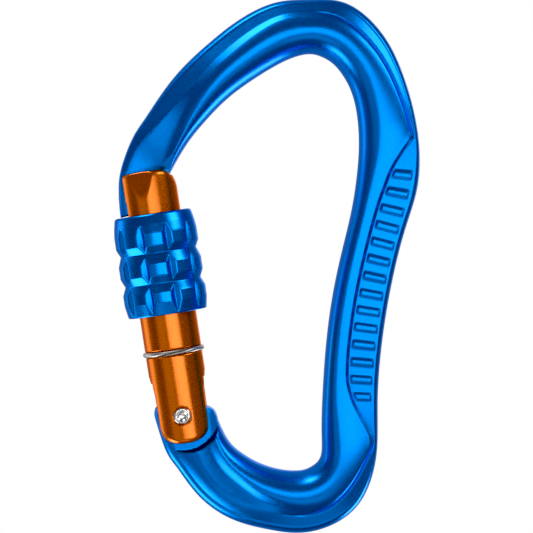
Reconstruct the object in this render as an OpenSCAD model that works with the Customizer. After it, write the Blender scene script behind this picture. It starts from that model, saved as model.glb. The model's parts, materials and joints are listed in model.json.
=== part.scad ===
// Screw-lock carabiner: a forged body with a sprung gate and a threaded locking sleeve.
// Millimetres. The origin is the rope-bearing point inside the top bend. +Z points up along
// the load line, +X points to the spine, and the thickness runs along Y.
// The gate, the sleeve and everything on them are drawn in the gate's own frame, whose origin
// is the hinge pivot: x runs inward, y across the thickness, and z up the gate's axis.

/* [Body] */
// Thickness of the body across its round inner bulb
bulb_thick = 11; // [10.4:0.1:11.6]
// Thickness of the body beside the bulb, where its outer band starts
web_thick = 8.2; // [7.8:0.1:8.6]
// Thickness of the tang that the gate's fork straddles
tang_thick = 4.4; // [3.8:0.1:4.6]
// Thickness of the nose blade that lies in the gate's slot
nose_thick = 5.1; // [4.6:0.1:5.2]
// Extra thickness of the key at the tip of the nose
nose_key = 1.1; // [0.6:0.1:1.3]

/* [Gate] */
// Diameter of the gate's tube
gate_d = 10.86; // [10.6:0.02:10.9]
// Length of the gate from the pivot to its top
gate_len = 46.8; // [46.6:0.05:46.9]
// Lean of the closed gate towards the outside, in degrees
gate_lean = 8.66; // [8.4:0.02:8.9]
// Opening angle that the hinge profile is cut for, in degrees
gate_open = 35; // [20:1:36]
// Lift of the spring plunger as the gate opens, in millimetres per radian
cam_lift = 2; // [1:0.1:2.2]

/* [Sleeve] */
// Length of the locking sleeve
sleeve_len = 19.25; // [18.9:0.05:19.3]
// Largest diameter of the sleeve
sleeve_d = 15.92; // [15.6:0.02:16.2]
// Number of grip flutes around the sleeve
flutes = 10; // [6:1:12]
// Advance of the sleeve for one turn
thread_pitch = 2; // [1.8:0.1:2.4]

/* [Small parts] */
// Diameter of the hinge rivet
rivet_d = 3.4; // [2.8:0.1:3.5]
// Diameter of the stop ring's wire
ring_wire = 1; // [0.8:0.05:1]
// Diameter of the gate spring's wire
spring_wire = 0.5; // [0.4:0.05:0.6]
// Turns of the gate spring
spring_turns = 7; // [5:1:9]

/* [Hidden] */
$fn = 64;

pivot = [-24.1, 0, -68.8];
pocket_r = 7;           // round pocket in the body around the gate's foot
gate_r = gate_d / 2;
foot_r = 5.26;          // round lower end of the gate
foot_half_w = 4.72;     // half width of the narrowed foot
fork_gap = tang_thick + 0.2;
fork_floor = 6.6;       // height of the fork's floor above the pivot
spring_bore_r = 2.3;
spring_top = 24;        // blind end of the spring's bore
ring_z = 12.15;         // height of the stop ring above the pivot
sleeve_z = 19.5;        // height of the sleeve's lower edge above the pivot
sleeve_top = sleeve_z + sleeve_len;
nose_r = 6.25;          // outer radius of the nose about the gate's axis, at its tip
nose_root_r = 5.2;      // the same where it joins the body
sleeve_wide_r = 6.45;   // bore that passes over the nose
sleeve_bore_r = 5.55;   // crest of the sleeve's thread, which slides on the gate
sleeve_mouth_r = 6.1;   // bore below the thread
thread_h = 0.5;         // height of the gate's thread
thread_base = 1.1;      // width of its ridge at the tube
thread_crest = 0.5;     // width of its ridge at the crest
thread_gap = 0.14;      // clearance on each flank
thread_low = 20.3;      // lower and upper ends of the gate's thread
thread_high = 35.3;
nut_low = 5.5;          // lower and upper ends of the sleeve's thread, above its lower edge
nut_high = 11;
key_top = 41;           // upper edge of the key on the nose
// The nose ends on an arc about the pivot, just outside the arc of the sleeve's upper edge
nose_arc = norm([7.2, sleeve_top]) + 0.15;

// Stations of the body from the nose, over the top, down the spine and back to the hinge.
// Each is x, z, width, then the section: place of the bulb's crown (0 inner edge, 1 outer
// edge), half thickness there as a share of bulb_thick / 2, place of the crease where the
// outer band starts, and half thickness of the band at the crease and at the rim as shares
// of web_thick / 2.
STATIONS = [
    [-31.4, -23.5, 9.9, 0.13, 0.60, 0.35, 0.65, 0.67],
    [-30.6, -20.5, 9.3, 0.14, 0.64, 0.38, 0.68, 0.71],
    [-27.6, -15.2, 9.4, 0.22, 0.76, 0.47, 0.78, 0.73],
    [-24.0, -10.2, 9.8, 0.32, 0.88, 0.56, 0.90, 0.70],
    [-19.9, -5.6, 10.2, 0.37, 0.96, 0.60, 0.98, 0.66],
    [-15.2, -1.6, 10.6, 0.38, 1.00, 0.62, 1.00, 0.64],
    [-10.2, 1.9, 11.1, 0.38, 1.00, 0.67, 1.00, 0.66],
    [-4.6, 4.5, 11.0, 0.38, 1.00, 0.72, 0.98, 0.70],
    [0.0, 5.1, 10.4, 0.37, 1.00, 0.66, 1.02, 0.69],
    [4.6, 4.5, 11.2, 0.37, 1.00, 0.72, 0.98, 0.70],
    [9.4, 0.8, 10.8, 0.38, 1.00, 0.77, 0.96, 0.72],
    [12.5, -4.5, 10.4, 0.38, 1.00, 0.74, 0.97, 0.72],
    [14.3, -10.4, 10.7, 0.38, 0.99, 0.80, 0.95, 0.76],
    [15.2, -17.5, 11.5, 0.36, 0.96, 0.62, 1.00, 0.88],
    [14.9, -24.2, 11.8, 0.35, 0.93, 0.50, 1.04, 1.00],
    [13.3, -31.4, 10.9, 0.34, 0.91, 0.46, 1.04, 1.01],
    [11.2, -39.8, 10.65, 0.33, 0.90, 0.44, 1.04, 1.01],
    [9.5, -48.4, 10.7, 0.32, 0.90, 0.43, 1.04, 1.01],
    [8.4, -57.0, 10.6, 0.32, 0.90, 0.41, 1.04, 1.01],
    [7.85, -65.2, 10.6, 0.33, 0.92, 0.46, 1.04, 1.00],
    [7.75, -72.4, 10.75, 0.36, 0.96, 0.72, 1.00, 0.88],
    [7.3, -78.2, 10.5, 0.38, 1.00, 0.81, 0.95, 0.78],
    [4.8, -82.8, 11.5, 0.38, 1.00, 0.73, 0.98, 0.71],
    [-0.6, -85.5, 11.9, 0.38, 1.00, 0.71, 0.98, 0.71],
    [-6.7, -85.2, 11.75, 0.36, 0.99, 0.64, 0.93, 0.76],
    [-12.4, -83.5, 12.0, 0.30, 0.95, 0.57, 0.80, 0.82],
    [-17.3, -80.2, 11.6, 0.22, 0.88, 0.51, 0.68, 0.86],
    [-20.7, -76.0, 11.2, 0.16, 0.82, 0.47, 0.62, 0.87],
    [-22.7, -72.2, 11.6, 0.13, 0.77, 0.45, 0.60, 0.86],
    [-23.6, -69.1, 11.7, 0.13, 0.74, 0.44, 0.60, 0.84]];
ring_steps = 2;         // rings drawn for each station
rim_start = 0.88;       // place where the outer rim starts to round off

// Smooth curve through the stations: the value at s, where whole numbers are the stations.
function knot(i) = STATIONS[min(max(i, 0), len(STATIONS) - 1)];
function through(a, b, c, d, t) =
    b + (c - a) * t / 2 + (2 * a - 5 * b + 4 * c - d) * t * t / 2 + (3 * b - a - 3 * c + d) * t * t * t / 2;
function station(s) =
    let (i = min(floor(s), len(STATIONS) - 2))
    through(knot(i - 1), knot(i), knot(i + 1), knot(i + 2), s - i);

// Half of the body's section: [place across the width, half thickness] from inner to outer.
function half_section(r) =
    let (crown = r[3], top = r[4] * bulb_thick / 2, foot = r[5], web = r[6] * web_thick / 2,
         rim = r[7] * web_thick / 2)
    concat([for (a = [0:22.5:67.5]) [crown * (1 - cos(a)), top * sin(a)]],
           [for (a = [0:30:60]) [crown + (foot - crown) * a / 90, web + (top - web) * cos(a)]],
           [[foot, web], [rim_start, rim]],
           [for (a = [30:30:90]) [rim_start + (1 - rim_start) * sin(a), rim * cos(a)]]);

// One closed ring of the body's skin, front from inner to outer, then the back.
function ring(s) =
    let (r = station(s), ahead = station(s + 0.02), back = station(s - 0.02),
         t = [ahead[0] - back[0], ahead[1] - back[1]], n = [-t[1], t[0]] / norm(t),
         half = half_section(r), m = len(half))
    [for (j = [0:2 * m - 3])
        let (p = half[j < m ? j : 2 * m - 2 - j], across = (p[0] - 0.5) * r[2])
        [r[0] + n[0] * across, j < m ? -p[1] : p[1], r[1] + n[1] * across]];

// The bent bar itself, skinned ring by ring and closed with strips at both ends.
module bar() {
    count = (len(STATIONS) - 1) * ring_steps;
    rings = [for (i = [0:count]) ring(i / ring_steps)];
    m = len(rings[0]);
    skin = [for (i = [0:count - 1], j = [0:m - 1])
        let (a = i * m + j, b = i * m + (j + 1) % m)
        each [[a, b, a + m], [b, b + m, a + m]]];
    start = [for (j = [1:m / 2 - 1]) each [[j - 1, m - j, j], [m - j, m - j - 1, j]]];
    end = [for (f = start) [f[0] + count * m, f[2] + count * m, f[1] + count * m]];
    polyhedron([for (r = rings) each r], concat(skin, start, end));
}

// Places its children in the gate's frame.
module at_gate() {
    translate(pivot) rotate([0, -gate_lean, 0]) children();
}

// A flat plate in the x-z plane, with its middle on y = 0.
module plate(points, thick) {
    rotate([90, 0, 0]) linear_extrude(height = thick, center = true) polygon(points);
}

// A round bar along y through the pivot.
module cross_bar(r, length) {
    rotate([90, 0, 0]) cylinder(r = r, h = length, center = true);
}

// Both halves, front and back, of what lies outside the middle thickness.
module outside(thick) {
    for (side = [-1, 1])
        translate([0, side * (thick / 2 + 5), 0]) children();
}

// Radius of the cam on the tang, at an angle turned inward from the closed gate's axis.
cam_r = 4.05;
function cam(a) = cam_r + cam_lift * max(a, 0) * PI / 180;

module tang() {
    plate(concat([[-5.36, -1.5], [-5.38, 0.2], [-5.2, 1.4], [-4.75, 2.3], [-4.2, 2.2], [-3.6, 2]],
                 [for (a = [-40:5:gate_open + 10]) cam(a) * [sin(a), cos(a)]],
                 [[4.65, 1.6], [4.95, 0.6], [5.5, 0.3], [6, -0.05], [6.3, -0.8], [6.45, -1.6]]),
          tang_thick);
}

// Inner edge of the nose, which the gate's slanted slot wall closes against.
nose_inner = [[0.9, 39.8], [1.6, 41.5], [3, 44], [4.6, 45.9]];

module nose() {
    tip = [for (a = [-10:1.5:0.5]) nose_arc * [sin(a), cos(a)]];
    intersection() {
        translate([0, 0, nose_arc - 2])
            cylinder(r1 = nose_r + 0.15, r2 = nose_root_r, h = 11.5);
        union() {
            plate(concat(tip, nose_inner, [[5.2, 47.2], [3.5, 48.6], [-3.6, 48.6], [-4.8, 47.1], [-7, 44]]),
                  nose_thick);
            plate(concat(tip, [[0.9, 39.8], [1.4, key_top], [-7.2, key_top]]), nose_thick + nose_key);
        }
    }
}

module frame_body() {
    color("royalblue") difference() {
        union() {
            difference() {
                bar();
                at_gate() {
                    outside(tang_thick) cross_bar(pocket_r, 10);
                    outside(nose_thick) intersection() {
                        cross_bar(gate_len + 0.55, 10);
                        translate([-9, -5, 30]) cube([18.5, 10, 20]);
                    }
                    plate(concat(nose_inner, [[9, 45.9], [9, 39.8]]), 20);
                }
            }
            at_gate() tang();
            at_gate() nose();
        }
        at_gate() cross_bar(rivet_d / 2 + 0.05, 20);
    }
}

// Helical ridge on the gate from z = low to z = high. Its phase is fixed to the gate's frame,
// so a ridge and a groove drawn with the same pitch mesh wherever they start.
module helix(low, high, grow) {
    per_turn = 20;
    count = round((high - low) / thread_pitch * per_turn);
    base = thread_base / 2 + grow;
    crest = thread_crest / 2 + grow;
    inner = gate_r - 0.4;
    outer = gate_r + thread_h + grow / 2;
    slope = (base - crest) / thread_h;
    profile = [[inner, -base - slope * 0.4], [outer, -crest], [outer, crest], [inner, base + slope * 0.4]];
    points = [for (i = [0:count], p = profile)
        let (z = low + i * thread_pitch / per_turn, a = z * 360 / thread_pitch)
        [p[0] * cos(a), p[0] * sin(a), z + p[1]]];
    skin = [for (i = [0:count - 1], j = [0:3])
        let (a = i * 4 + j, b = i * 4 + (j + 1) % 4)
        each [[a, b, a + 4], [b, b + 4, a + 4]]];
    polyhedron(points, concat(skin, [[3, 2, 1, 0], [for (j = [0:3]) count * 4 + j]]));
}

// Side outline of the gate: round foot, narrowed flanks that widen to the tube, flat top.
function gate_outline() =
    let (tangent = acos(foot_half_w / foot_r), wide = gate_r + 0.1,
         swell = [for (i = [0:5]) let (t = i / 5) [foot_half_w + (wide - foot_half_w) * t * t * (3 - 2 * t), 5 + 2.6 * t]])
    concat([for (a = [0:10]) let (b = 180 + tangent + (180 - 2 * tangent) * a / 10) foot_r * [cos(b), sin(b)]],
           swell, [[wide, gate_len + 1], [-wide, gate_len + 1]],
           [for (i = [5:-1:0]) [-swell[i][0], swell[i][1]]]);

module gate() {
    slot_floor = 38.4;
    edge = 0.35;
    flat_r = gate_r - 0.63;
    color("darkorange") at_gate() difference() {
        union() {
            intersection() {
                rotate_extrude() polygon([[0, -foot_r - 1], [gate_r, -foot_r - 1], [gate_r, gate_len - edge],
                                          [gate_r - edge, gate_len], [0, gate_len]]);
                plate(gate_outline(), gate_d + 2);
            }
            helix(thread_low, thread_high, 0);
        }
        // fork, rivet hole, spring bore and the ring's groove
        translate([-10, -fork_gap / 2, -10]) cube([20, fork_gap, 10 + fork_floor]);
        cross_bar(rivet_d / 2, 20);
        translate([0, 0, fork_floor - 1]) cylinder(r = spring_bore_r, h = spring_top - fork_floor + 1);
        translate([0, 0, ring_z]) rotate_extrude() translate([gate_r, 0]) circle(r = ring_wire / 2 + 0.05, $fn = 32);
        // slot for the nose, and the wider recess for its key
        plate([[-7, slot_floor], [1.2, slot_floor], [1.9, 41.4], [3.3, 43.9], [4.9, 45.8], [6.8, 48.5], [-7, 48.5]],
              nose_thick + 0.3);
        plate([[-7, slot_floor], [1.2, slot_floor], [1.85, key_top + 0.3], [-7, key_top + 0.3]],
              nose_thick + nose_key + 0.3);
        // sloping flats on both cheeks
        for (turn = [255, 105])
            rotate([0, 0, turn]) translate([flat_r, 0, gate_len]) rotate([0, -7.3, 0])
                translate([0, -6, -9]) cube([6, 12, 14]);
    }
}

// Outer profile of the sleeve: three bands with grooves between them, and a domed top.
function sleeve_profile() =
    let (band = sleeve_d / 2, groove = band - 0.69)
    [[band - 0.6, 0], [band - 0.44, 0.2], [band, 2.4], [band, 4.4], [groove, 6], [band, 7.6], [band, 9.9],
     [groove, 11.8], [band, 13.3], [band, 15.6], [band - 0.25, 17.4], [band - 0.6, sleeve_len - 0.35],
     [band - 0.8, sleeve_len]];
flute_rows = [3.1, 8.7, 14.4];

module screw_sleeve() {
    flute_h = 4.6;
    color("dodgerblue") at_gate() translate([0, 0, sleeve_z]) difference() {
        rotate_extrude()
            polygon(concat(sleeve_profile(), [[sleeve_wide_r, sleeve_len], [sleeve_wide_r, nut_high + 0.9],
                                              [sleeve_bore_r, nut_high], [sleeve_bore_r, nut_low],
                                              [sleeve_mouth_r, nut_low - 0.55], [sleeve_mouth_r, 0]]));
        translate([0, 0, -sleeve_z]) helix(sleeve_z + nut_low - 1.5, sleeve_z + nut_high + 1.5, thread_gap);
        for (row = flute_rows, i = [0:flutes - 1])
            rotate([0, 0, 90 + (i + 0.5) * 360 / flutes]) translate([sleeve_d / 2 - 0.72, 0, row - flute_h / 2])
                linear_extrude(height = flute_h) polygon([[0, 0], [1.5, -2.2], [1.5, 2.2]]);
    }
}

// Wire ring in the gate's groove, split at the back.
module stop_ring() {
    split = 8;
    color("silver") at_gate() translate([0, 0, ring_z])
        rotate_extrude(angle = 360 - split, start = 90 + split / 2)
            translate([gate_r, 0]) circle(r = ring_wire / 2, $fn = 32);
}

// Rivet with a rolled rim and a dimple at each end.
module hinge_rivet() {
    r = rivet_d / 2;
    half = gate_r - 0.13;
    color("gainsboro") at_gate() rotate([90, 0, 0]) rotate_extrude()
        polygon([[0, -half + 0.35], [r * 0.45, -half + 0.1], [r * 0.8, -half], [r, -half + 0.3],
                 [r, half - 0.3], [r * 0.8, half], [r * 0.45, half - 0.1], [0, half - 0.35]]);
}

// Pusher with a domed foot on the cam, a shoulder for the spring and a spigot inside it.
plunger_foot = cam_r + 0.32;
plunger_head = 10.4;

module spring_plunger() {
    stem = 1.2;
    head = spring_bore_r - 0.1;
    spigot = 1.15;
    color("darkgray") at_gate() rotate_extrude()
        polygon(concat([for (a = [0:15:90]) [stem * sin(a), plunger_foot + stem * (1 - cos(a))]],
                       [[stem, fork_floor + 0.6], [head, fork_floor + 1.4], [head, plunger_head],
                        [spigot, plunger_head], [spigot, plunger_head + 2.4], [0, plunger_head + 2.4]]));
}

// Coil of round wire: a tube swept along the helix.
module gate_spring() {
    wire = spring_wire / 2;
    coil = 1.65;
    sides = 6;
    per_turn = 14;
    low = plunger_head + wire + 0.05;
    high = spring_top - wire - 0.05;
    count = spring_turns * per_turn;
    points = [for (i = [0:count], j = [0:sides - 1])
        let (a = i * 360 / per_turn, b = j * 360 / sides, r = coil + wire * cos(b))
        [r * cos(a), r * sin(a), low + (high - low) * i / count + wire * sin(b)]];
    skin = [for (i = [0:count - 1], j = [0:sides - 1])
        let (a = i * sides + j, b = i * sides + (j + 1) % sides)
        each [[a, a + sides, b], [b, a + sides, b + sides]]];
    ends = [[for (j = [0:sides - 1]) j], [for (j = [sides - 1:-1:0]) count * sides + j]];
    color("lightgray") at_gate() polyhedron(points, concat(skin, ends));
}

frame_body();
gate();
screw_sleeve();
stop_ring();
hinge_rivet();
spring_plunger();
gate_spring();
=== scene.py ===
"""Visual model of the screw-lock carabiner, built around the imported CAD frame.

Shapes are worked out in millimetres with numpy and turned into metres when a mesh is made.
The body is one dense skin lofted along its own bar; the gate is meshed from a distance field
with rounded edges; the sleeve, ring, rivet, plunger and spring are turned or swept.
"""
import json
import math

import bpy
import numpy as np
from mathutils import Matrix, Vector


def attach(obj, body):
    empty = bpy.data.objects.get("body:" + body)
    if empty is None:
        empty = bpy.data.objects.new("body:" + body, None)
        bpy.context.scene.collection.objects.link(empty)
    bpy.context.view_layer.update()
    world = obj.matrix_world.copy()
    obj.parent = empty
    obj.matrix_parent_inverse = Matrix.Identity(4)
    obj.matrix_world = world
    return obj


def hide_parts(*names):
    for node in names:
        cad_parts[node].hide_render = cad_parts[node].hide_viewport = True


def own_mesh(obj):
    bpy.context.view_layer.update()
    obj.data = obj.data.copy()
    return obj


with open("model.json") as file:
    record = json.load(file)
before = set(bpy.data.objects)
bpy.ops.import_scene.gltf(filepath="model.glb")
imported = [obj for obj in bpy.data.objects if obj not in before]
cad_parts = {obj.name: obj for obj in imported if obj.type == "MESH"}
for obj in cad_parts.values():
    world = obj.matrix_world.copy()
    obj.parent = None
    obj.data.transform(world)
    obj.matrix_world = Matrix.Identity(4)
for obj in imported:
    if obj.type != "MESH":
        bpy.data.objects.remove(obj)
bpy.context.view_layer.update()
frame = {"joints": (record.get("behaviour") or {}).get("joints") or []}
joints = {j["name"]: j for j in frame["joints"]}

MM = 0.001
PIVOT = np.array(joints["gate_hinge"]["pos_m"]) / MM
UP = np.array(joints["sleeve_travel"]["axis"])
UP = UP / np.linalg.norm(UP)
INWARD = np.array([UP[2], 0, -UP[0]])
ACROSS = np.array([0, 1, 0])

# Sizes in millimetres. The gate's frame has its origin on the rivet's axis: u is inward,
# towards the opening, v is up along the gate, and y is across the thickness.
GATE_R = 5.43  # the gate's tube
GATE_LEN = 46.8  # from the rivet's axis to the top end
FOOT_R = 5.26  # the round foot of the gate
FOOT_HALF_W = 4.72  # half its width above the round
TANG_HALF = 2.2  # half the thickness of the body between the fork
BLADE_HALF = 2.55  # half the thickness of the nose
KEY_HALF = 2.85  # half the thickness of the key at its end
KEY_TOP = 41.1  # height to which the key reaches
SLOT_LOW = 38.4  # floor of the slot for the nose
POCKET_R = 7.0  # pocket in the body around the foot
RING_Z = 12.15  # height of the stop ring
RING_WIRE = 0.5  # radius of its wire
BORE_R = 2.3  # bore for the spring
BORE_TOP = 24
SLEEVE_Z = 19.5  # height of the sleeve's lower end
BAND_R = 7.96  # the sleeve's three bands
FLUTES = 10  # flutes in each row
FLUTE_ROWS = (3.1, 8.7, 14.4)  # heights of the rows above the sleeve's lower end
PITCH = 2.0  # rise of the thread in one turn
THREAD_H = 0.5  # height of its ridge
THREAD_LOW, THREAD_HIGH = 20.3, 35.3


# ---------------------------------------------------------------- small mathematics

def smooth(x):
    """0 below 0, 1 above 1, and an even S between."""
    x = np.clip(x, 0, 1)
    return x * x * (3 - 2 * x)


def soft_min(a, b, k):
    """The lower of a and b, rounded where they are within k of each other."""
    h = np.maximum(k - np.abs(a - b), 0) / k
    return np.minimum(a, b) - h * h * k / 4


def soft_max(a, b, k):
    """The higher of a and b, rounded in the same way."""
    return -soft_min(-a, -b, k)


def spline(knots, values, at):
    """Natural cubic curve through the values at the knots, read at other places."""
    knots, values = np.asarray(knots, float), np.asarray(values, float)
    n, h = len(knots), np.diff(knots)
    a, b = np.eye(n), np.zeros((n, values.shape[1]))
    for i in range(1, n - 1):
        a[i, i - 1:i + 2] = h[i - 1], 2 * (h[i - 1] + h[i]), h[i]
        b[i] = 6 * ((values[i + 1] - values[i]) / h[i] - (values[i] - values[i - 1]) / h[i - 1])
    bend = np.linalg.solve(a, b)
    i = np.clip(np.searchsorted(knots, at) - 1, 0, n - 2)
    w = h[i][:, None]
    lo, hi = (at - knots[i])[:, None], (knots[i + 1] - at)[:, None]
    return (bend[i] * hi ** 3 + bend[i + 1] * lo ** 3) / (6 * w) + (
        values[i] / w - bend[i] * w / 6) * hi + (values[i + 1] / w - bend[i + 1] * w / 6) * lo


def at_gate(points):
    """Points of the gate's frame (inward, across, up) in the row frame, in millimetres."""
    p = np.asarray(points, float)
    return PIVOT + p[..., :1] * INWARD + p[..., 1:2] * ACROSS + p[..., 2:3] * UP


# ---------------------------------------------------------------- meshes

def make_piece(name, verts, faces, body, material, sharp=None):
    """A closed mesh piece from millimetre points in the row frame, riding on a body."""
    mesh = bpy.data.meshes.new(name)
    mesh.from_pydata((np.asarray(verts) * MM).tolist(), [], faces)
    mesh.validate()
    piece = bpy.data.objects.new(name, mesh)
    bpy.context.scene.collection.objects.link(piece)
    face_outward(mesh)
    mesh.shade_smooth()
    if sharp:
        mesh.set_sharp_from_angle(angle=math.radians(sharp))
    mesh.materials.append(material)
    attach(piece, body)
    return piece


def face_outward(mesh):
    """Turns the faces of a closed mesh outwards if its volume comes out negative."""
    mesh.calc_loop_triangles()
    co = np.array([v.co for v in mesh.vertices])
    tri = np.array([t.vertices for t in mesh.loop_triangles])
    a, b, c = co[tri[:, 0]], co[tri[:, 1]], co[tri[:, 2]]
    if np.einsum("ij,ij->i", a, np.cross(b, c)).sum() < 0:
        mesh.flip_normals()


def grid_faces(rows, columns, wrap_rows=False):
    """Quads of a grid of rings of points, numbered ring by ring."""
    i, j = np.meshgrid(np.arange(rows if wrap_rows else rows - 1), np.arange(columns), indexing="ij")
    ni, nj = (i + 1) % rows, (j + 1) % columns
    quads = np.stack([i * columns + j, ni * columns + j, ni * columns + nj, i * columns + nj], -1)
    return quads.reshape(-1, 4).tolist()


def wire_faces(rows, sides):
    """Faces of a wire: the grid of points round it, with a cap at each end."""
    first, last = list(range(sides)), list(range((rows - 1) * sides, rows * sides))
    return grid_faces(rows, sides) + [first, last[::-1]]


def turned_faces(rows, columns):
    """Faces of a turned shape: a grid of rings, closed by a fan at each end.

    The two points on the axis come after the grid, first ring's end first.
    """
    first, last = rows * columns, rows * columns + 1
    faces, ring = grid_faces(rows, columns), (rows - 1) * columns
    for j in range(columns):
        k = (j + 1) % columns
        faces += [[first, j, k], [last, ring + k, ring + j]]
    return faces


def surface_net(field, low, high, step):
    """Closed quad mesh of the zero surface of a field, pulled onto it along its gradient.

    Each cell of a box of points that the surface passes through gets one vertex, at the
    mean of the crossings on its edges, and each crossed edge gets a quad.
    """
    axes = [np.arange(low[i], high[i] + step[i], step[i]) for i in range(3)]
    value = field(np.stack(np.meshgrid(*axes, indexing="ij"), -1).reshape(-1, 3))
    value = value.reshape([len(a) for a in axes])
    cells = [len(a) - 1 for a in axes]
    total, count = np.zeros(cells + [3]), np.zeros(cells)
    for axis in range(3):
        others = [i for i in range(3) if i != axis]
        for da in (0, 1):
            for db in (0, 1):
                start = [slice(0, c) for c in cells]
                start[others[0]] = slice(da, cells[others[0]] + da)
                start[others[1]] = slice(db, cells[others[1]] + db)
                end = list(start)
                end[axis] = slice(1, cells[axis] + 1)
                a, b = value[tuple(start)], value[tuple(end)]
                crossed = (a < 0) != (b < 0)
                point = np.zeros(cells + [3])
                point[..., axis] = np.where(crossed, a / np.where(crossed, a - b, 1), 0)
                point[..., others[0]] = da
                point[..., others[1]] = db
                total[crossed] += point[crossed]
                count[crossed] += 1
    used = count > 0
    number = np.full(cells, -1)
    number[used] = np.arange(used.sum())
    corner = np.argwhere(used)
    verts = np.array(low) + (corner + total[used] / count[used][:, None]) * np.array(step)
    faces = []
    for axis in range(3):
        a, b = [i for i in range(3) if i != axis]
        start = [slice(0, c) for c in cells]
        start[a], start[b] = slice(1, cells[a]), slice(1, cells[b])
        end = list(start)
        end[axis] = slice(1, cells[axis] + 1)
        low_side, high_side = value[tuple(start)] < 0, value[tuple(end)] < 0
        around = []
        for da, db in ((1, 1), (0, 1), (0, 0), (1, 0)):
            part = list(start)
            part[a] = slice(1 - da, cells[a] - da)
            part[b] = slice(1 - db, cells[b] - db)
            around.append(number[tuple(part)])
        quads = np.stack(around, -1)
        leaving, entering = low_side & ~high_side, ~low_side & high_side
        if axis == 1:
            leaving, entering = entering, leaving
        faces += quads[leaving].tolist() + quads[entering][:, ::-1].tolist()
    nudge, reach, rounds = 0.02, 0.4 * min(step), 5
    for _ in range(rounds):
        f = field(verts)
        slope = np.stack([field(verts + nudge * e) - field(verts - nudge * e) for e in np.eye(3)], -1)
        slope /= 2 * nudge
        move = -f[:, None] * slope / np.maximum((slope ** 2).sum(-1), 0.05)[:, None]
        length = np.linalg.norm(move, axis=1, keepdims=True)
        verts = verts + move * np.minimum(1, reach / np.maximum(length, 1e-9))
    return verts, faces


# ---------------------------------------------------------------- body

# Middle line of the bar and its width: x, z, width.
STATIONS = [
    (-30.6, -20.5, 9.3), (-27.6, -15.2, 9.4), (-24, -10.2, 9.8), (-19.9, -5.6, 10.2),
    (-15.2, -1.6, 10.6), (-10.2, 1.9, 11.1), (-4.6, 4.5, 11), (0, 5.1, 10.4), (4.6, 4.5, 11.2),
    (9.4, .8, 10.8), (12.5, -4.5, 10.4), (14.3, -10.4, 10.7), (15.2, -17.5, 11.5),
    (14.9, -24.2, 11.8), (13.3, -31.4, 10.9), (11.2, -39.8, 10.65), (9.5, -48.4, 10.7),
    (8.4, -57, 10.6), (7.85, -65.2, 10.6), (7.75, -72.4, 10.75), (7.3, -78.2, 10.5),
    (4.8, -82.8, 11.5), (-.6, -85.5, 11.9), (-6.7, -85.2, 11.75), (-12.4, -83.5, 12),
    (-17.3, -80.2, 11.6), (-20.7, -76, 11.2), (-22.7, -72.2, 11.6)]
# Edges of the nose below the first station and of the tang above the last one, in the gate's
# frame: inner edge (inward, up), outer edge (inward, up).
NOSE = [(0.75, 39.5, -6.12, 38.86), (1.35, 41.2, -6.05, 41.2), (2.35, 42.9, -5.85, 43.3),
        (3.45, 44.5, -5.45, 45.6), (4.15, 45.35, -4.75, 47.8)]
TANG = [(6.42, -1.5, -5.2, -2.0), (6.2, -0.6, -5.45, -0.2), (5.8, 0.1, -5.46, 1.0),
        (5.2, 0.55, -5.2, 1.75), (4.4, 0.8, -4.5, 2.3), (3.4, 0.9, -3.4, 2.6)]
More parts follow.
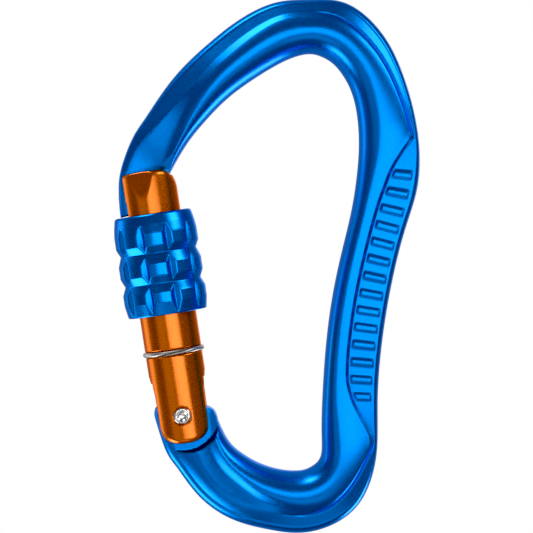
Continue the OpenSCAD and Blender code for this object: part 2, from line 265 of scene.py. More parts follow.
# Section along the bar, by length from the nose: the crown of the bulb (place across the
# width from 0 inside to 1 outside, half thickness), the foot of the bulb, the crease where
# the outer band starts, and the start of the outer rim, each as place and half thickness.
SECTION = [
    (-8, .09, 2.6, .20, 2.55, .84, 2.55, .94, 2.3),
    (0, .09, 2.8, .20, 2.56, .86, 2.6, .945, 2.35),
    (2.5, .10, 3.15, .22, 2.64, .82, 2.75, .94, 2.4),
    (5, .11, 3.55, .25, 2.95, .77, 3.1, .935, 2.45),
    (10, .17, 4.0, .34, 3.42, .71, 3.46, .92, 2.45),
    (15, .26, 4.4, .45, 3.85, .64, 3.60, .90, 2.5),
    (20, .33, 4.85, .50, 4.35, .61, 3.75, .88, 2.6),
    (25, .39, 5.2, .575, 4.65, .675, 3.80, .88, 2.75),
    (30, .41, 5.4, .595, 4.80, .705, 3.80, .88, 2.95),
    (35, .43, 5.5, .63, 4.85, .72, 3.92, .885, 3.15),
    (40, .44, 5.5, .665, 4.85, .745, 4.08, .89, 3.4),
    (45, .44, 5.5, .655, 4.85, .735, 4.15, .89, 3.45),
    (50, .44, 5.5, .62, 4.90, .69, 4.25, .885, 3.3),
    (55, .45, 5.5, .655, 4.85, .715, 4.25, .88, 3.3),
    (60, .46, 5.5, .71, 4.80, .76, 4.30, .89, 3.6),
    (65, .44, 5.5, .76, 4.72, .80, 4.32, .905, 3.8),
    (70, .42, 5.45, .825, 4.50, .853, 4.28, .915, 4.05),
    (71.5, .41, 5.4, .845, 4.38, .868, 4.24, .92, 4.12),
    (73, .39, 5.32, .78, 4.62, .885, 4.36, .925, 4.22),
    (75, .37, 5.24, .61, 4.92, .71, 4.78, .93, 4.28),
    (77.5, .33, 5.15, .53, 4.95, .565, 4.85, .905, 4.3),
    (80, .29, 5.08, .465, 4.93, .487, 4.84, .905, 4.3),
    (85, .25, 5.02, .398, 4.90, .415, 4.82, .905, 4.3),
    (90, .24, 5.0, .383, 4.88, .398, 4.80, .895, 4.3),
    (115, .24, 5.0, .383, 4.88, .398, 4.80, .89, 4.3),
    (120, .25, 5.03, .405, 4.90, .42, 4.82, .895, 4.3),
    (123.2, .27, 5.1, .49, 4.95, .535, 4.84, .905, 4.3),
    (125, .29, 5.16, .53, 4.96, .61, 4.84, .905, 4.3),
    (127.5, .33, 5.25, .62, 4.92, .745, 4.76, .905, 4.28),
    (130, .35, 5.35, .73, 4.75, .885, 4.42, .93, 4.22),
    (131.2, .36, 5.4, .80, 4.55, .90, 4.28, .93, 4.15),
    (132.8, .37, 5.45, .82, 4.45, .848, 4.26, .92, 4.1),
    (135, .37, 5.5, .725, 4.72, .768, 4.34, .89, 3.9),
    (137.5, .38, 5.5, .66, 4.85, .71, 4.34, .88, 3.72),
    (140, .39, 5.5, .615, 4.90, .672, 4.32, .875, 3.62),
    (145, .39, 5.5, .60, 4.80, .68, 4.15, .865, 3.5),
    (150, .38, 5.4, .585, 4.55, .68, 4.0, .86, 3.35),
    (155, .34, 5.2, .53, 4.15, .66, 3.95, .86, 3.05),
    (160, .28, 4.95, .46, 3.78, .63, 3.7, .86, 2.7),
    (165, .25, 4.7, .44, 3.5, .63, 3.44, .865, 2.35),
    (170, .18, 4.45, .37, 3.35, .56, 3.3, .87, 2.15),
    (175, .11, 4.2, .32, 3.2, .48, 3.15, .88, 2.1),
    (184, .10, 4.0, .32, 3.1, .46, 3.1, .88, 2.1)]
PANEL_LOW, PANEL_HIGH = 72.4, 131.2
PANEL_TIPS = (72.3, 131.8)
# Points across the width on the inner round, the flank, the strip, the band and the outer round
ACROSS_COUNTS = (17, 15, 8, 25, 13)
# How far in the last rings at each end lie from the end, and how much thinner they are
END_PLACES = (0, .02, .07, .15, .26)
END_ROUND = (.3, .19, .09, .02)


def skeleton():
    """Inner and outer edge along the bar, and the length to each row."""
    s = np.array(STATIONS)
    centre = s[:, :2]
    knots = np.concatenate([[0], np.cumsum(np.linalg.norm(np.diff(centre, axis=0), axis=1))])
    ahead, back = spline(knots, centre, knots + 0.05), spline(knots, centre, knots - 0.05)
    along = (ahead - back) / np.linalg.norm(ahead - back, axis=1, keepdims=True)
    out = np.stack([-along[:, 1], along[:, 0]], -1) * s[:, 2:3] / 2
    ends = []
    for extra in (NOSE, TANG):
        e = np.array(extra)
        sides = [at_gate(np.stack([e[:, k], 0 * e[:, k], e[:, k + 1]], -1))[:, [0, 2]] for k in (0, 2)]
        ends.append(np.hstack(sides))
    rows = np.vstack([ends[0], np.hstack([centre - out, centre + out]), ends[1]])
    middle = (rows[:, :2] + rows[:, 2:4]) / 2
    length = np.concatenate([[0], np.cumsum(np.linalg.norm(np.diff(middle, axis=0), axis=1))])
    return rows, length - length[len(NOSE) - 1]


def ring_places(low, high):
    """Where the rings lie along the bar: closer together where there is detail."""
    def gap(s):
        detail = (s < 12) | (s > 168) | ((s > 70) & (s < 134))
        return 0.25 if detail else 0.42
    places = [low + a for a in END_PLACES]
    while places[-1] < high - 0.36:
        places.append(places[-1] + gap(places[-1]))
    return np.array(places[:-1] + [high - a for a in END_PLACES[::-1]])


def section_along(places):
    """The eight section numbers at each ring, with the corners of the table eased.

    The easing has a spread of 1.3 mm along the bar, but only 0.3 mm at the panel's two tips.
    """
    table, gap, reach = np.array(SECTION), 0.1, 45
    fine = np.arange(table[0, 0], table[-1, 0], gap)
    near_tip = np.clip(sum(np.exp(-((fine - tip) / 2.5) ** 2) for tip in PANEL_TIPS), 0, 1)
    steps = np.arange(-reach, reach + 1)
    soft, crisp = np.exp(-0.5 * (steps / 13.0) ** 2), np.exp(-0.5 * (steps / 3.0) ** 2)
    columns = []
    for k in range(1, table.shape[1]):
        line = np.pad(np.interp(fine, table[:, 0], table[:, k]), reach, mode="edge")
        eased = [np.convolve(line, w / w.sum(), mode="valid") for w in (soft, crisp)]
        columns.append(np.interp(places, fine, eased[0] * (1 - near_tip) + eased[1] * near_tip))
    return columns


def section_places(crown, foot, crease, rim):
    """Places across the width for one ring: even on each part, closer at both rims."""
    part = [np.linspace(0, 1, count) for count in ACROSS_COUNTS]
    inner = crown * (1 - np.cos(part[0] * math.pi / 2))[:-1]
    flank = crown + (foot - crown) * part[1][:-1]
    strip = foot + (crease - foot) * part[2][:-1]
    band = crease + (rim - crease) * part[3][:-1] ** 1.15
    outer = rim + (1 - rim) * np.sin(part[4] * math.pi / 2)
    return np.concatenate([inner, flank, strip, band, outer])


def panel_share(s):
    """1 on the spine, where the outer band is a flat panel, and 0 in the bends."""
    return smooth((s - PANEL_LOW + .5) / 1.0) * smooth((PANEL_HIGH + .5 - s) / 1.0)


def channel_share(s):
    """1 near the hinge, where the band is a hollow channel with a lip."""
    return smooth((s - 151) / 12)


def section_height(s, t, width, crown, top, foot, foot_h, crease, crease_h, rim, rim_h):
    """Half thickness of the bar at length s and place t across the width.

    The inner round climbs to the crown of the bulb, the flank falls to its foot, the strip
    runs on to the crease, the band from there to the rim, and the edge closes the section.
    A fine groove is scored along the crease.
    """
    spine, channel, nose = panel_share(s), channel_share(s), 1 - smooth((s - 2) / 16)
    inner = top * np.sqrt(1 - np.clip((crown - t) / crown, 0, 1) ** 2.3)
    x = np.clip((t - crown) / (foot - crown), 0, 1)
    bowl = 0.5 - 0.5 * np.cos(math.pi * x)
    fall = x ** 1.9 * (1 - channel) * (1 - nose) + bowl * channel + (0.6 * bowl + 0.4 * x) * nose
    flank = top - (top - foot_h) * fall
    x = np.clip((t - foot) / (crease - foot), 0, 1)
    strip = foot_h + (crease_h - foot_h) * x
    x = np.clip((t - crease) / (rim - crease), 0, 1)
    rising = x ** 1.25
    wall = smooth((t - crease) * width / 0.3)
    falling = x ** (1 + 0.7 * channel)
    slope = np.where(rim_h > crease_h, rising, falling)
    band = crease_h + (rim_h - crease_h) * (slope * (1 - spine) + wall * spine)
    x = np.clip((t - rim) / (1 - rim), 0, 1)
    edge = rim_h * np.sqrt(1 - x ** 2.1)
    parts = [inner, flank, strip, band, edge]
    y = np.select([t < crown, t < foot, t < crease, t < rim], parts[:4], parts[4])
    scored = smooth((s - 40) / 12) * smooth((152 - s) / 8)
    return y - 0.26 * scored * np.exp(-((t - crease) * width / 0.2) ** 2)


def ease_across(y, share):
    """Rounds the corners between crown and rim on the rings where share is 1."""
    eased, rounds = y.copy(), 40
    low, high = ACROSS_COUNTS[0], y.shape[1] - ACROSS_COUNTS[-1]
    for _ in range(rounds):
        beside = eased[:, low - 1:high - 1] + eased[:, low + 1:high + 1]
        eased[:, low:high] = (beside + 2 * eased[:, low:high]) / 4
    return y + (eased - y) * share


def ribs(s, t, crease, width):
    """Height of the raised ribs on the panel: a plain grip, with no lettering."""
    pitch, first, last, half, height, wall = 3.3, 79.5, 123.0, 0.62, 0.24, 0.22
    middle = first + np.round((s - first) / pitch) * pitch
    here = smooth((half + 0.1 - np.abs(s - middle)) / 0.2)
    here = here * (middle > first - 0.1) * (middle < last + 0.1)
    from_crease, from_rim = (t - crease) * width, (0.9 - t) * width
    return height * here * smooth((from_crease - 0.6) / wall) * smooth((from_rim - 0.4) / wall)


def hinge_and_nose(y, u, v, s):
    """Cuts the pocket around the gate's foot and the blade and key of the nose.

    The pocket is an arc about the pivot with a low lip on its inner side. The nose is a thin
    blade with a thicker key at its end, and its outer side is rounded to the cone that the
    raised sleeve goes over.
    """
    hinge_from, nose_to = 150, 9
    pocket_wall, lip_wall, blade_wall, no_cut = 4.6, 0.35, 0.42, 9
    cone_r, cone_v, cone_slope = 6.4, 37.6, 0.1045
    far = np.hypot(u, v)
    lip = u - 5.4 - 0.5 * np.maximum(v + 0.6, 0)
    beyond = np.maximum((far - POCKET_R) * pocket_wall, lip * lip_wall)
    pocket = TANG_HALF + soft_max(np.zeros_like(far), beyond, 0.25)
    y = np.where(s > hinge_from, soft_min(y, pocket, 0.16), y)
    blade = BLADE_HALF + (KEY_HALF - BLADE_HALF) * smooth((KEY_TOP - v) / 0.25)
    blade = blade + soft_max(np.zeros_like(far), (far - GATE_LEN - 0.1) * blade_wall, 0.1)
    cone = cone_r - (v - cone_v) * cone_slope
    round_off = np.sqrt(np.maximum(cone ** 2 - u ** 2, 1e-6)) + 3 * smooth((v - 46.5) / 1.5)
    cut = soft_min(soft_min(y, blade, 0.16), np.where(u < 0, round_off, no_cut), 0.2)
    return np.where(s < nose_to, cut, y)


def body_points():
    """Points of the body's skin, ring by ring: (x, z) and the half thickness there."""
    rows, length = skeleton()
    places = ring_places(length[0], length[-1])
    ring = spline(length, rows, places)
    inner, outer = ring[:, None, :2], ring[:, None, 2:4]
    crown, top, foot, foot_h, crease, crease_h, rim, rim_h = section_along(places)
    least = 0.012
    crease = np.maximum(crease, foot + least)
    rim = np.maximum(rim, crease + least)
    t = np.array([section_places(*c) for c in zip(crown, foot, crease, rim)])
    width = np.linalg.norm(ring[:, 2:4] - ring[:, :2], axis=1)[:, None]
    section = [a[:, None] for a in (crown, top, foot, foot_h, crease, crease_h, rim, rim_h)]
    s = places[:, None]
    y = section_height(s, t, width, *section)
    y = ease_across(y, np.maximum(channel_share(s), 1 - smooth((s - 8) / 14)))
    y = y + ribs(s, t, crease[:, None], width) * panel_share(s)
    xz = inner + (outer - inner) * t[..., None]
    from_pivot = xz - PIVOT[[0, 2]]
    y = hinge_and_nose(y, from_pivot @ INWARD[[0, 2]], from_pivot @ UP[[0, 2]], s)
    y[:, 0] = y[:, -1] = 0
    for end, order in ((0, 1), (-1, -1)):
        for k, take in enumerate(END_ROUND):
            i = end + k * order
            y[i] = np.maximum(y[i] - take, y[i] * 0.8)
    return xz, y


def make_body(material):
    """The skin's front and back half joined into rings, with a flat cap at each end."""
    xz, y = body_points()
    count, n = y.shape
    front = np.stack([xz[..., 0], -y, xz[..., 1]], -1)
    back = np.stack([xz[..., 0], y, xz[..., 1]], -1)[:, -2:0:-1]
    points = np.concatenate([front, back], 1)
    m = points.shape[1]
    faces = grid_faces(count, m)
    for base, flip in ((0, False), ((count - 1) * m, True)):
        for j in range(n - 1):
            a, b = base + j, base + j + 1
            c, d = base + (m - j - 1) % m, base + (m - j) % m
            face = [a, b, c, d] if j else [a, b, c]
            if c == b:
                face = [a, b, d]
            faces.append(face[::-1] if flip else face)
    piece = make_piece("body", points.reshape(-1, 3), faces, "frame", material)
    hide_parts("frame_body")


# ---------------------------------------------------------------- gate

def thread_height(angle, z, low, high, grow):
    """Height of the helical ridge above its tube at an angle and height on the gate."""
    phase = z - PITCH * angle / (2 * math.pi)
    from_ridge = np.abs(phase - PITCH * np.round(phase / PITCH))
    height = np.clip((0.55 + grow - from_ridge) / 0.6, 0, THREAD_H + grow / 2)
    return height * smooth((z - low) / 1.0) * smooth((high - z) / 1.0)


def slot_wall(v):
    """How far inward the nose's slot reaches at a height on the gate."""
    return np.interp(v, [SLOT_LOW, 41.4, 43.9, 45.8, 48.5], [1.2, 1.9, 3.3, 4.9, 6.8])


def gate_outside(u, y, v):
    """Below zero inside the gate's outline, before its slots and holes are cut."""
    outside, side, rho = -9.0, np.abs(y), np.hypot(u, y)
    ridge = thread_height(np.arctan2(y, u), v, THREAD_LOW, THREAD_HIGH, 0)
    solid = soft_max(rho - GATE_R - ridge, v - GATE_LEN, 1.0)
    # Two bevels that round the inward corner of the top end
    bevel = soft_max(u * 0.857 + v * 0.514 - 27.62, u * 0.622 + v * 0.783 - 39.03, 0.3)
    solid = soft_max(solid, np.where(v > 40, bevel, outside), 0.9)
    # The foot: narrower than the tube, in an S up to it, and round below
    half_w = FOOT_HALF_W + (GATE_R - FOOT_HALF_W) * smooth((v - 4.0) / 4.4) + 0.7 * smooth((v - 7.4) / 1.6)
    solid = soft_max(solid, np.where(v > 9.2, outside, np.abs(u) - half_w), 0.3)
    power = 2.6
    rounded = (np.abs(u) ** power + np.abs(v) ** power) ** (1 / power) - FOOT_R
    foot = np.where(v > 0, np.abs(u) - FOOT_R, rounded)
    solid = soft_max(solid, np.where(v > 3, outside, foot), 0.9)
    # The slanting facet on both faces of the top end
    tilt, depth = math.radians(8.2), 0.7
    flat = (-0.22 * u + 0.975 * side - GATE_R + depth) * math.cos(tilt) + (v - GATE_LEN) * math.sin(tilt)
    return soft_max(solid, np.where(v > 38, flat, outside), 0.1)


def gate_cuts(u, y, v):
    """Below zero inside the gate's slots and holes."""
    side, rho = np.abs(y), np.hypot(u, y)
    wall = (u - slot_wall(v)) * 0.75
    nose_slot = soft_max(soft_max(side - 2.7, wall, 0.1), SLOT_LOW - v, 0.1)
    key_slot = soft_max(soft_max(side - 3.0, wall, 0.1), np.maximum(SLOT_LOW - v, v - KEY_TOP - 0.2), 0.1)
    fork_slot = soft_max(side - TANG_HALF - 0.1, v - 6.6, 0.2)
    bore = soft_max(rho - BORE_R, v - BORE_TOP, 0.2)
    rivet_hole = np.hypot(u, v) - 1.72
    ring_groove = np.hypot(rho - GATE_R, v - RING_Z) - 0.56
    return np.minimum.reduce([nose_slot, key_slot, fork_slot, bore, rivet_hole, ring_groove])


def gate_field(p):
    """Below zero inside the gate. Points are in the gate's frame."""
    u, y, v = p[:, 0], p[:, 1], p[:, 2]
    return soft_max(gate_outside(u, y, v), -gate_cuts(u, y, v), 0.22)


def make_gate(material):
    """The gate as one closed mesh of its field."""
    low, high = (-6.3, -6.3, -5.7), (6.3, 6.3, 47.3)
    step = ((0.188, 0.188, 0.192))
    verts, faces = surface_net(gate_field, low, high, step)
    piece = make_piece("gate_tube", at_gate(verts), faces, "gate", material)
    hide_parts("gate")


# ---------------------------------------------------------------- sleeve

def stretch(profile, gap):
    """A line of (radius, height) corners cut into steps no longer than gap."""
    rows = []
    for a, b in zip(profile[:-1], profile[1:]):
        n = max(1, math.ceil(math.dist(a, b) / gap))
        rows += [(a[0] + (b[0] - a[0]) * k / n, a[1] + (b[1] - a[1]) * k / n) for k in range(n)]
    return rows


def make_sleeve(material):
    """The sleeve turned from its outline, with rows of flutes outside and a thread inside."""
    columns, flute_depth, flute_half, nut_r = 360, 0.68, 2.7, 5.55
    groove = BAND_R - 0.69
    outer = stretch([(7.36, 0), (7.5, .06), (7.56, .22), (BAND_R - .03, 2.3), (BAND_R, 2.45), (BAND_R, 4.35),
                     (BAND_R - .04, 4.5), (groove + .06, 5.86), (groove, 6.02), (groove + .06, 6.18),
                     (BAND_R - .04, 7.5), (BAND_R, 7.65), (BAND_R, 9.85), (BAND_R - .04, 10),
                     (groove + .06, 11.66), (groove, 11.82), (groove + .06, 11.96), (BAND_R - .04, 13.2),
                     (BAND_R, 13.35), (BAND_R, 15.5), (BAND_R - .03, 15.8), (7.7, 17.4), (7.42, 18.75),
                     (7.33, 18.98), (7.2, 19.14), (7.02, 19.22)], 0.135)
    rim = stretch([(7.02, 19.22), (6.86, 19.25), (6.62, 19.25), (6.5, 19.18), (6.45, 19.05)], 0.1)
    bore = stretch([(6.45, 19.05), (6.45, 11.9), (5.6, 11.05)], 0.8)
    nut = stretch([(5.6, 11.05), (5.6, 5.5)], 0.13)
    mouth = stretch([(5.6, 5.5), (6.1, 4.95), (6.1, .2), (6.22, 0), (7.36, 0)], 0.4)
    rows = np.array(outer + rim + bore + nut + mouth)
    angle = np.radians(90 + 18) + np.arange(columns) * 2 * math.pi / columns
    radius = np.repeat(rows[:, :1], columns, 1)
    z = rows[:, 1:2]
    n_outer = len(outer)
    step = 2 * math.pi / FLUTES
    off = (angle - angle[0] + step / 2) % step - step / 2
    across = BAND_R * np.abs(off)[None, :]
    for row in FLUTE_ROWS:
        floor = BAND_R - flute_depth + (z - row) ** 2 / 32 + 0.7 * across
        cut = soft_min(radius, floor, 0.05)
        radius[:n_outer] = np.where(np.abs(z - row) < flute_half, cut, radius)[:n_outer]
    start = n_outer + len(rim) + len(bore)
    part = slice(start, start + len(nut))
    radius[part] = nut_r + thread_height(angle, z[part] + SLEEVE_Z, SLEEVE_Z + 5.0, SLEEVE_Z + 11.6, 0.14)
    points = np.stack([radius * np.cos(angle), radius * np.sin(angle),
                       np.repeat(z + SLEEVE_Z, columns, 1)], -1)
    faces = grid_faces(len(rows), columns, wrap_rows=True)
    piece = make_piece("sleeve_shell", at_gate(points).reshape(-1, 3), faces, "sleeve", material)
    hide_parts("screw_sleeve")


# ---------------------------------------------------------------- small parts

def make_ring(material):
    """Wire ring whose tapered ends lie on each other across the front."""
    rows, sides, overlap, thinnest = 260, 20, 1.35, 0.06
    total = 2 * math.pi + overlap
    begin = math.radians(-90) - overlap / 2 + 0.1
    points = []
    for i in range(rows):
        x = i / (rows - 1) * total
        lead, tail = x / overlap, (total - x) / overlap
        share = min(1.0, max(thinnest, min(lead, tail)))
        lift = (1 - share) * RING_WIRE * (-1 if lead < 1 else 1)
        a = begin + x
        for j in range(sides):
            b = 2 * math.pi * j / sides
            r = GATE_R + RING_WIRE * 0.98 * math.cos(b)
            points.append((r * math.cos(a), r * math.sin(a),
                           RING_Z + lift * 0.98 + RING_WIRE * 0.97 * share * math.sin(b)))
    piece = make_piece("stop_ring_wire", at_gate(points), wire_faces(rows, sides), "ring", material, sharp=50)
    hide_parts("stop_ring")


def make_rivet(material):
    """Rivet with a rolled, lightly notched rim and a dimple at each end."""
    half, r, columns, notches, notch_depth = 5.33, 1.7, 96, 6, 0.015
    end = [(0, -half + .42), (.35, -half + .41), (.62, -half + .36), (.82, -half + .22),
           (.98, -half + .06), (1.14, -half), (1.34, -half + .01), (1.5, -half + .09),
           (1.62, -half + .2), (r, -half + .34)]
    profile = end + [(a, -b) for a, b in end[::-1]]
    knots = np.cumsum([0] + [max(math.dist(a, b), 1e-3) for a, b in zip(profile[:-1], profile[1:])])
    shank = knots[len(end) - 1], knots[len(end)]
    at = np.concatenate([np.linspace(0, shank[0], 44), np.linspace(*shank, 6)[1:-1],
                         np.linspace(shank[1], knots[-1], 44)])
    line = np.stack([np.interp(at, knots, [p[k] for p in profile]) for k in (0, 1)], -1)
    angle = np.arange(columns) * 2 * math.pi / columns
    rim = np.exp(-((line[:, :1] - 1.26) / 0.22) ** 2)
    notch = notch_depth * (0.5 + 0.5 * np.cos(notches * angle + 0.4)) ** 3
    y = line[:, 1:2] - np.sign(line[:, 1:2]) * rim * notch
    points = np.stack([line[:, :1] * np.cos(angle), y, line[:, :1] * np.sin(angle)], -1)[1:-1]
    tips = [[0, line[0, 1], 0], [0, line[-1, 1], 0]]
    points, faces = np.vstack([points.reshape(-1, 3), tips]), turned_faces(len(points), columns)
    piece = make_piece("rivet_pin", at_gate(points), faces, "gate", material)
    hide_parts("hinge_rivet")


def make_plunger(material):
    """Brass pusher: domed foot, shoulder and the spigot that centres the spring."""
    stem, head, foot, end, columns = 1.2, 2.2, 4.37, 12.8, 64
    arc = [(stem * math.sin(a), foot + stem * (1 - math.cos(a))) for a in np.linspace(0, math.pi / 2, 12)]
    line = stretch(arc + [(stem, 7.15), (stem + .1, 7.3), (head - .1, 7.9), (head, 8.1), (head, 10.2),
                          (head - .15, 10.4), (1.3, 10.4), (1.15, 10.55), (1.15, 12.6),
                          (.95, end), (0, end)], 0.35)
    line = np.array(line[1:])
    angle = np.arange(columns) * 2 * math.pi / columns
    points = np.stack([line[:, :1] * np.cos(angle), line[:, :1] * np.sin(angle),
                       np.repeat(line[:, 1:], columns, 1)], -1)
    points = np.vstack([points.reshape(-1, 3), [[0, 0, foot], [0, 0, end]]])
    faces = turned_faces(len(line), columns)
    piece = make_piece("plunger_pin", at_gate(points), faces, "plunger", material, sharp=40)
    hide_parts("spring_plunger")


def make_spring(material):
    """Coil spring with closed end turns, between the plunger and the end of its bore."""
    wire, coil, turns, sides, per_turn = 0.25, 1.65, 9, 12, 30
    low, high = 10.7, 23.7
    rows, points = turns * per_turn + 1, []
    for i in range(rows):
        turn = i / per_turn
        rise = np.interp(turn, [0, 1, turns - 1, turns], [0, 0.04, 0.96, 1])
        z, a = low + (high - low) * rise, 2 * math.pi * turn
        for j in range(sides):
            b = 2 * math.pi * j / sides
            r = coil + wire * math.cos(b)
            points.append((r * math.cos(a), r * math.sin(a), z + wire * math.sin(b)))
    piece = make_piece("spring_coil", at_gate(points), wire_faces(rows, sides), "gate", material, sharp=60)
    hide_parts("gate_spring")
    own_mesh(piece)


# ---------------------------------------------------------------- materials

def nodes_of(name):
    """A new material, its node tree and its surface shader."""
    material = bpy.data.materials.new(name)
    material.use_nodes = True
    tree = material.node_tree
    return material, tree, tree.nodes["Principled BSDF"]


def noise(tree, coords, scale, detail, rough):
    """Noise fixed to the piece, with scale in cells per metre."""
    node = tree.nodes.new("ShaderNodeTexNoise")
    node.inputs["Scale"].default_value = scale
    node.inputs["Detail"].default_value = detail
    node.inputs["Roughness"].default_value = rough
    tree.links.new(coords.outputs["Object"], node.inputs["Vector"])
    return node.outputs["Fac"]


def ramp(tree, value, low, high, a, b):
    """Maps value from low..high onto a..b."""
    node = tree.nodes.new("ShaderNodeMapRange")
    for name, number in (("From Min", low), ("From Max", high), ("To Min", a), ("To Max", b)):
        node.inputs[name].default_value = number
    tree.links.new(value, node.inputs["Value"])
    return node.outputs["Result"]


def colour_mix(tree, share, b, blend="MIX"):
    """A node that mixes colour b into its socket A by share."""
    node = tree.nodes.new("ShaderNodeMix")
    node.data_type = "RGBA"
    node.blend_type = blend
    tree.links.new(share, node.inputs["Factor"])
    node.inputs["B"].default_value = (*b, 1)
    return node


def pitted(tree, shader, height, strength, depth):
    """Pits the shader's surface by a height, depth metres at most."""
    pits = tree.nodes.new("ShaderNodeBump")
    pits.inputs["Strength"].default_value = strength
    pits.inputs["Distance"].default_value = depth
    tree.links.new(height, pits.inputs["Height"])
    tree.links.new(pits.outputs["Normal"], shader.inputs["Normal"])


def anodised(name, light, dark, edge, roughness, grain, bump, metal):
    """Dyed satin aluminium: fine blasted grain and a slow drift of the colour."""
    material, tree, shader = nodes_of(name)
    coords = tree.nodes.new("ShaderNodeTexCoord")
    fine = noise(tree, coords, grain, 3.0, 0.6)
    drift = noise(tree, coords, 90, 2.0, 0.5)
    grained = colour_mix(tree, ramp(tree, fine, 0.32, 0.68, 0, 1), light)
    grained.inputs["A"].default_value = (*dark, 1)
    drifted = colour_mix(tree, ramp(tree, drift, 0.3, 0.7, 0.0, 0.25), (0.86, 0.9, 0.94), "MULTIPLY")
    tree.links.new(grained.outputs["Result"], drifted.inputs["A"])
    tree.links.new(drifted.outputs["Result"], shader.inputs["Base Color"])
    uneven = ramp(tree, fine, 0.3, 0.7, roughness - 0.035, roughness + 0.045)
    tree.links.new(uneven, shader.inputs["Roughness"])
    pitted(tree, shader, fine, bump, 0.00003)
    shader.inputs["Metallic"].default_value = metal
    shader.inputs["Specular Tint"].default_value = (*edge, 1)
    shader.inputs["Coat Weight"].default_value = 0.3
    shader.inputs["Coat Roughness"].default_value = 0.2
    return material


def steel(name, colour, roughness, scratch):
    """Plain metal with fine scratches and slight staining."""
    material, tree, shader = nodes_of(name)
    coords = tree.nodes.new("ShaderNodeTexCoord")
    fine = noise(tree, coords, scratch, 4.0, 0.65)
    stain = noise(tree, coords, 400, 2.0, 0.5)
    stained = colour_mix(tree, ramp(tree, stain, 0.35, 0.65, 0, 1), tuple(c * 0.82 for c in colour))
    stained.inputs["A"].default_value = (*colour, 1)
    tree.links.new(stained.outputs["Result"], shader.inputs["Base Color"])
    uneven = ramp(tree, fine, 0.3, 0.7, roughness * 0.8, roughness * 1.25)
    tree.links.new(uneven, shader.inputs["Roughness"])
    pitted(tree, shader, fine, 0.15, 0.00002)
    shader.inputs["Metallic"].default_value = 1.0
    return material


# ---------------------------------------------------------------- stage, light and camera

# The point that the camera and the soft boxes point at, and their distances from it, in metres
AIM = Vector((-0.00816, 0, -0.0406))
CAMERA_DISTANCE = 0.436
LAMP_DISTANCE = 0.62


def make_floor():
    """Pale round floor, well below the object and left out of its reflections."""
    radius, height, count = 1.1, -0.34, 96
    angles = [2 * math.pi * i / count for i in range(count)]
    ring = [(radius * math.cos(a), radius * math.sin(a), height) for a in angles]
    mesh = bpy.data.meshes.new("floor")
    mesh.from_pydata(ring, [], [list(range(count))])
    floor = bpy.data.objects.new("floor", mesh)
    bpy.context.scene.collection.objects.link(floor)
    paper, _, shader = nodes_of("floor_paper")
    shader.inputs["Base Color"].default_value = (0.86, 0.86, 0.86, 1)
    shader.inputs["Roughness"].default_value = 0.8
    shader.inputs["Emission Color"].default_value = (1, 1, 1, 1)
    shader.inputs["Emission Strength"].default_value = 0.55
    mesh.materials.append(paper)
    floor.visible_glossy = False


def soft_box(name, toward, size, brightness):
    """Rectangular light in a direction from the object, as bright as a lit card.

    Its second size runs along the circle from the camera's side to the light.
    """
    light = bpy.data.lights.new(name, "AREA")
    light.shape = "RECTANGLE"
    light.size, light.size_y = size
    light.energy = brightness * math.pi * size[0] * size[1]
    lamp = bpy.data.objects.new(name, light)
    toward = Vector(toward).normalized()
    side = toward.cross(Vector((0, -1, 0))).normalized()
    turn = Matrix((side, toward.cross(side), toward)).transposed()
    lamp.matrix_world = Matrix.Translation(AIM + toward * LAMP_DISTANCE) @ turn.to_4x4()
    lamp.visible_camera = False
    bpy.context.scene.collection.objects.link(lamp)


def make_world():
    """White where the camera looks past the object; its reflections see a dim room that is
    lighter behind the object and to its left."""
    world = bpy.data.worlds.new("studio")
    bpy.context.scene.world = world
    world.use_nodes = True
    tree = world.node_tree
    room = tree.nodes["Background"]
    room.inputs["Color"].default_value = (0.93, 0.95, 1.0, 1)
    coords = tree.nodes.new("ShaderNodeTexCoord")
    along = tree.nodes.new("ShaderNodeVectorMath")
    along.operation = "DOT_PRODUCT"
    along.inputs[1].default_value = (-0.32, 0.94, 0.0)
    tree.links.new(coords.outputs["Generated"], along.inputs[0])
    level = tree.nodes.new("ShaderNodeMapRange")
    level.interpolation_type = "SMOOTHSTEP"
    for name, number in (("From Min", 0.0), ("From Max", 0.75), ("To Min", 0.14), ("To Max", 0.48)):
        level.inputs[name].default_value = number
    tree.links.new(along.outputs["Value"], level.inputs["Value"])
    tree.links.new(level.outputs["Result"], room.inputs["Strength"])
    seen = tree.nodes.new("ShaderNodeBackground")
    seen.inputs["Color"].default_value = (1, 1, 1, 1)
    path = tree.nodes.new("ShaderNodeLightPath")
    mix = tree.nodes.new("ShaderNodeMixShader")
    tree.links.new(path.outputs["Is Camera Ray"], mix.inputs[0])
    tree.links.new(room.outputs[0], mix.inputs[1])
    tree.links.new(seen.outputs[0], mix.inputs[2])
    tree.links.new(mix.outputs[0], tree.nodes["World Output"].inputs["Surface"])


def make_lights():
    """Nine soft boxes round the object: two above, two below, and weaker ones at its left,
    behind it and round the camera."""
    soft_box("box_upper_left", (-0.42, -0.14, 0.9), (0.28, 0.42), 3.6)
    soft_box("box_right", (0.76, -0.4, 0.56), (0.3, 0.3), 3.0)
    soft_box("box_low_left", (-0.67, -0.12, -0.73), (0.34, 0.5), 3.0)
    soft_box("box_low_right", (0.66, 0.35, -0.66), (0.3, 0.42), 3.2)
    soft_box("box_left", (-0.95, 0.36, -0.1), (0.36, 0.3), 0.8)
    soft_box("box_front", (0.25, -0.967, -0.02), (0.2, 0.56), 1.9)
    soft_box("box_low_front", (-0.05, -0.83, -0.55), (0.5, 0.24), 0.55)
    soft_box("box_front_left", (-0.58, -0.81, -0.12), (0.24, 0.36), 0.32)
    soft_box("box_back", (0.2, 0.97, 0.12), (0.3, 0.3), 0.8)


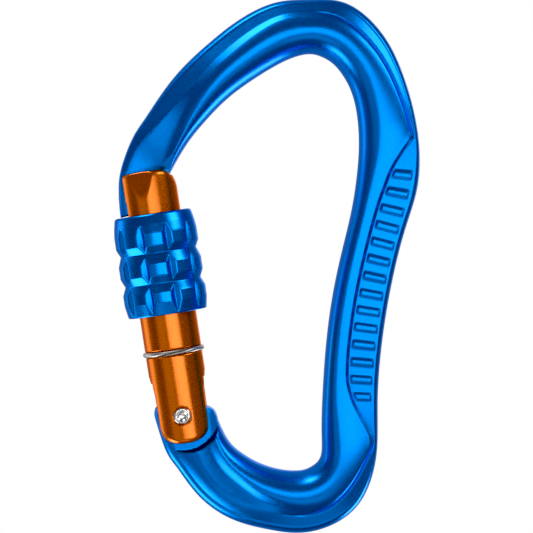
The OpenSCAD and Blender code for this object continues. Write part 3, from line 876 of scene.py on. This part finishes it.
def make_camera():
    """Camera straight in front, a little above the middle of the object."""
    elevation, view_angle = math.radians(1.4), math.radians(13.33)
    data = bpy.data.cameras.new("camera")
    data.sensor_width = 36
    data.lens = data.sensor_width / 2 / math.tan(view_angle / 2)
    data.clip_start, data.clip_end = 0.01, 10
    camera = bpy.data.objects.new("camera", data)
    back = Vector((0, -math.cos(elevation), math.sin(elevation)))
    camera.location = AIM + back * CAMERA_DISTANCE
    camera.rotation_euler = (-back).to_track_quat("-Z", "Y").to_euler()
    bpy.context.scene.collection.objects.link(camera)
    bpy.context.scene.camera = camera


def set_contrast():
    """Plain colours, with the darkest tones pulled down to black."""
    settings = bpy.context.scene.view_settings
    settings.view_transform = "Standard"
    settings.use_curve_mapping = True
    settings.curve_mapping.black_level = (0.022, 0.022, 0.022)
    settings.curve_mapping.update()


# ---------------------------------------------------------------- build

blue = anodised("anodised_blue", light=(0.0, 0.31, 1.0), dark=(0.0, 0.25, 0.92), edge=(0.1, 0.45, 0.8),
                roughness=0.3, grain=4200, bump=0.2, metal=0.95)
sleeve_blue = anodised("anodised_blue_turned", light=(0.0, 0.31, 1.0), dark=(0.0, 0.26, 0.92),
                       edge=(0.1, 0.45, 0.8), roughness=0.25, grain=5200, bump=0.12, metal=0.95)
orange = anodised("anodised_orange", light=(0.97, 0.242, 0.038), dark=(0.92, 0.217, 0.032),
                  edge=(0.8, 0.35, 0.15), roughness=0.245, grain=3600, bump=0.08, metal=0.91)
wire_steel = steel("wire_steel", (0.72, 0.69, 0.64), 0.36, 6000)
rivet_steel = steel("rivet_steel", (0.9, 0.89, 0.88), 0.17, 3000)
brass = steel("plunger_brass", (0.78, 0.57, 0.25), 0.25, 5000)
spring_steel = steel("spring_steel", (0.6, 0.6, 0.61), 0.25, 6000)

make_body(blue)
make_gate(orange)
make_sleeve(sleeve_blue)
make_ring(wire_steel)
make_rivet(rivet_steel)
make_plunger(brass)
make_spring(spring_steel)
make_world()
make_floor()
make_lights()
make_camera()
set_contrast()
